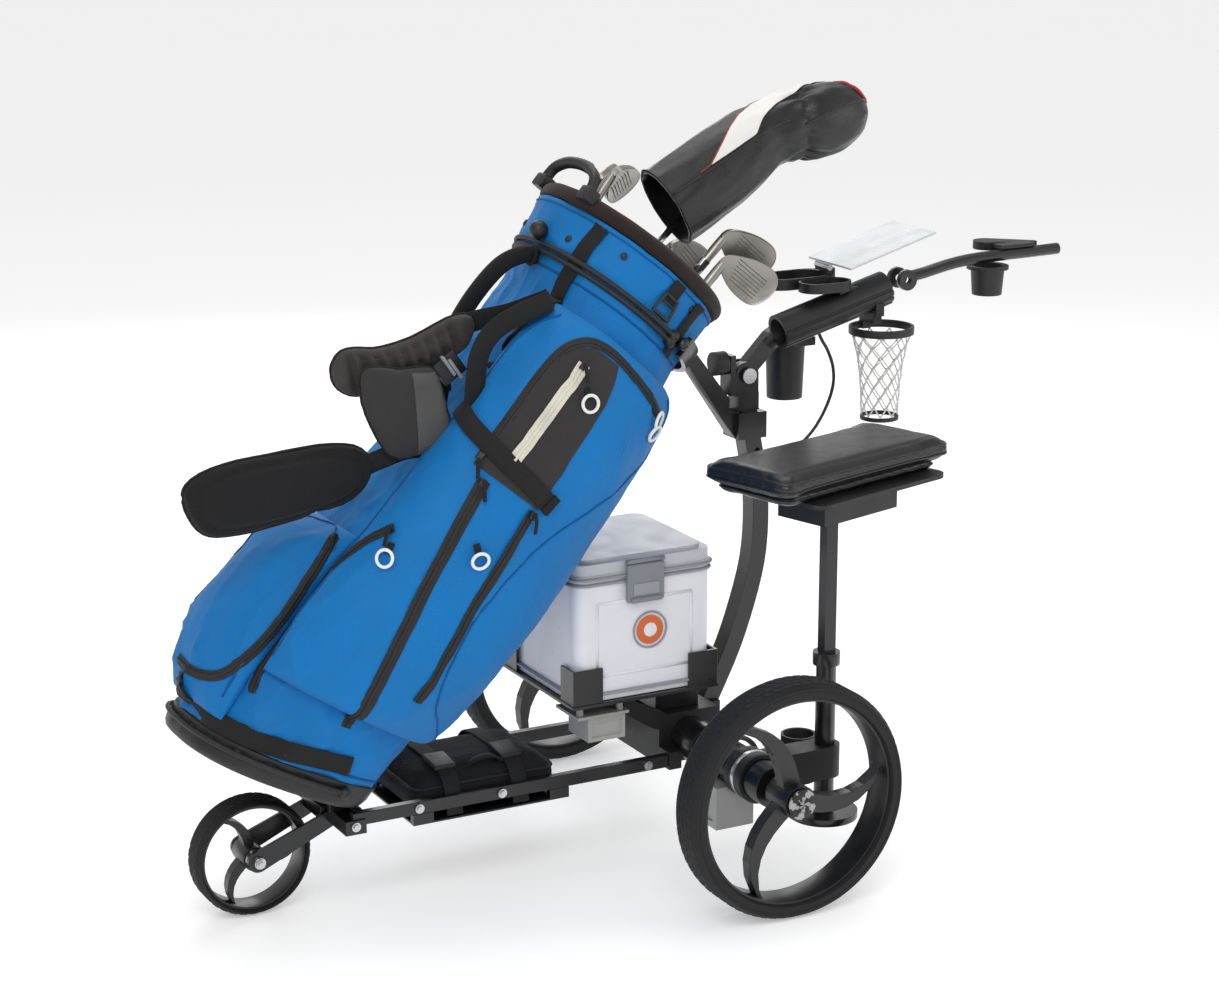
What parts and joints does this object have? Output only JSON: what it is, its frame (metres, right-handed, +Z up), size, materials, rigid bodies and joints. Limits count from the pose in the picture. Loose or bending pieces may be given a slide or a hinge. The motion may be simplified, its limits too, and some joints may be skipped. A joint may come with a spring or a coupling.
{
  "type": "golf bag on push cart",
  "caption": "Golf bag with clubs and pockets, strapped on a three-wheeled folding push cart with a seat, a cooler box, cups, a ball net and a hinged handle.",
  "frame": {"origin": "middle of the bounding box at ground level, below the cart", "axes": "+X from the front wheel to the handle, +Y across the cart to the side away from the seat, +Z up"},
  "size_m": [1.3868, 0.752, 1.0739],
  "materials": {
    "tyre_rubber": "matte rubber",
    "wheel_plastic": "satin moulded",
    "frame_black": "satin powder coat",
    "bright_metal": "satin",
    "gear_grey": "cast, satin",
    "case_fabric": "coated woven",
    "box_grey": "matte",
    "cooler_white": "smooth moulded",
    "cooler_lid_grey": "smooth moulded",
    "latch_grey": "matte",
    "seat_leather": "smooth padded",
    "moulding_black": "fine matte",
    "panel_clear": "frosted translucent",
    "net_cord": "knotted cord",
    "bag_nylon": "woven nylon",
    "rim_fabric": "padded knit",
    "webbing_black": "woven",
    "mesh_black": "padded mesh",
    "cover_leather": "smooth stitched",
    "club_metal": "satin",
    "cable_rubber": "matte"
  },
  "bodies": {
    "frame": {"axles": "bright_metal", "fork_arms": "frame_black", "fork_bridge": "frame_black", "frame_rails": "frame_black", "frame_bolts": "bright_metal", "battery_tray": "frame_black", "battery_bag": "case_fabric", "chassis_block": "moulding_black", "axle_housing": "frame_black", "gearbox": "gear_grey", "control_box": "box_grey", "mast": "frame_black", "hinge_bolt": "bright_metal", "bag_bracket": "frame_black", "bag_cradle": "frame_black", "cooler_tray": "frame_black", "cooler_body": "cooler_white", "seat_socket": "moulding_black", "bottle_holder": "moulding_black", "control_cable": "cable_rubber"},
    "front_wheel": {"front_tyre": "tyre_rubber", "front_rim": "wheel_plastic"},
    "rear_wheel_near": {"rear_tyre_near": "tyre_rubber", "rear_rim_near": "wheel_plastic"},
    "rear_wheel_far": {"rear_tyre_far": "tyre_rubber", "rear_rim_far": "wheel_plastic"},
    "lid": {"cooler_lid": "cooler_lid_grey"},
    "latch": {"cooler_latch": "latch_grey"},
    "seat_column": {"seat_post": "frame_black", "seat_foot": "frame_black"},
    "seat": {"seat_box": "moulding_black", "seat_cushion": "seat_leather"},
    "handle": {"handle_arm": "frame_black", "fluted_tube": "moulding_black", "console_tray": "moulding_black", "drink_holder": "moulding_black", "net_hoop": "moulding_black", "ball_net": "net_cord"},
    "knob": {"handle_knob": "moulding_black"},
    "panel": {"screen_panel": "panel_clear"},
    "grip": {"grip_arm": "frame_black", "grip_pod": "moulding_black", "small_cup": "moulding_black"},
    "bag": {"bag_body": "bag_nylon", "bag_rim": "rim_fabric", "bag_handle": "moulding_black", "bag_dividers": "case_fabric", "bag_boot": "moulding_black", "pocket_front": "bag_nylon", "side_pockets": "bag_nylon", "grab_handle": "webbing_black", "shoulder_straps": "mesh_black", "bungees": "cable_rubber"},
    "driver": {"driver": "club_metal"},
    "headcover": {"headcover": "cover_leather"},
    "iron_1": {"iron_1": "club_metal"},
    "iron_2": {"iron_2": "club_metal"},
    "iron_3": {"iron_3": "club_metal"},
    "iron_4": {"iron_4": "club_metal"},
    "iron_5": {"iron_5": "club_metal"}
  },
  "joints": [
    {"name": "front_wheel_spin", "type": "hinge", "parent": "frame", "child": "front_wheel", "pos_m": [-0.59675, 0, 0.082], "axis": [0, 1, 0], "continuous": true},
    {"name": "rear_wheel_near_spin", "type": "hinge", "parent": "frame", "child": "rear_wheel_near", "pos_m": [0.04525, -0.347, 0.165], "axis": [0, 1, 0], "continuous": true},
    {"name": "rear_wheel_far_spin", "type": "hinge", "parent": "frame", "child": "rear_wheel_far", "pos_m": [0.04525, 0.347, 0.165], "axis": [0, 1, 0], "continuous": true},
    {"name": "handle_fold", "type": "hinge", "parent": "frame", "child": "handle", "pos_m": [0.16825, 0, 0.668], "axis": [0, 1, 0], "range_deg": [-4, 30], "deforming": ["control_cable"]},
    {"name": "grip_tilt", "type": "hinge", "parent": "handle", "child": "grip", "pos_m": [0.41725, -0.03, 0.788], "axis": [0, 1, 0], "range_deg": [-30, 55]},
    {"name": "handle_knob_turn", "type": "hinge", "parent": "frame", "child": "knob", "pos_m": [0.14125, 0, 0.686], "axis": [1, 0, 0], "continuous": true},
    {"name": "panel_tilt", "type": "hinge", "parent": "handle", "child": "panel", "pos_m": [0.30925, 0, 0.809], "axis": [0, 1, 0], "range_deg": [-45, 12]},
    {"name": "seat_height", "type": "slide", "parent": "frame", "child": "seat_column", "axis": [0, 0, -1], "range_m": [0, 0.084]},
    {"name": "seat_swivel", "type": "hinge", "parent": "seat_column", "child": "seat", "pos_m": [0.16025, -0.25, 0.522], "axis": [0, 0, 1], "continuous": true},
    {"name": "cooler_lid_hinge", "type": "hinge", "parent": "frame", "child": "lid", "pos_m": [-0.04875, 0.101, 0.432], "axis": [-1, 0, 0], "range_deg": [0, 8]},
    {"name": "cooler_latch_hinge", "type": "hinge", "parent": "lid", "child": "latch", "pos_m": [-0.05275, -0.1185, 0.452], "axis": [-1, 0, 0], "range_deg": [0, 80]},
    {"name": "bag_lift_off", "type": "slide", "parent": "frame", "child": "bag", "axis": [-0.7559, 0, 0.6547], "range_m": [0, 0.4]},
    {"name": "driver_pull", "type": "slide", "parent": "bag", "child": "driver", "axis": [0.7327, -0.0252, 0.6801], "range_m": [0, 0.6]},
    {"name": "headcover_pull", "type": "slide", "parent": "driver", "child": "headcover", "axis": [0.8596, -0.0652, 0.5067], "range_m": [0, 0.3]},
    {"name": "iron_1_pull", "type": "slide", "parent": "bag", "child": "iron_1", "axis": [0.6925, -0.0316, 0.7208], "range_m": [0, 0.5]},
    {"name": "iron_2_pull", "type": "slide", "parent": "bag", "child": "iron_2", "axis": [0.6891, -0.0159, 0.7245], "range_m": [0, 0.5]},
    {"name": "iron_3_pull", "type": "slide", "parent": "bag", "child": "iron_3", "axis": [0.6444, 0.0641, 0.762], "range_m": [0, 0.5]},
    {"name": "iron_4_pull", "type": "slide", "parent": "bag", "child": "iron_4", "axis": [0.6026, -0.0096, 0.798], "range_m": [0, 0.5]},
    {"name": "iron_5_pull", "type": "slide", "parent": "bag", "child": "iron_5", "axis": [0.6694, 0.0247, 0.7425], "range_m": [0, 0.5]}
  ]
}
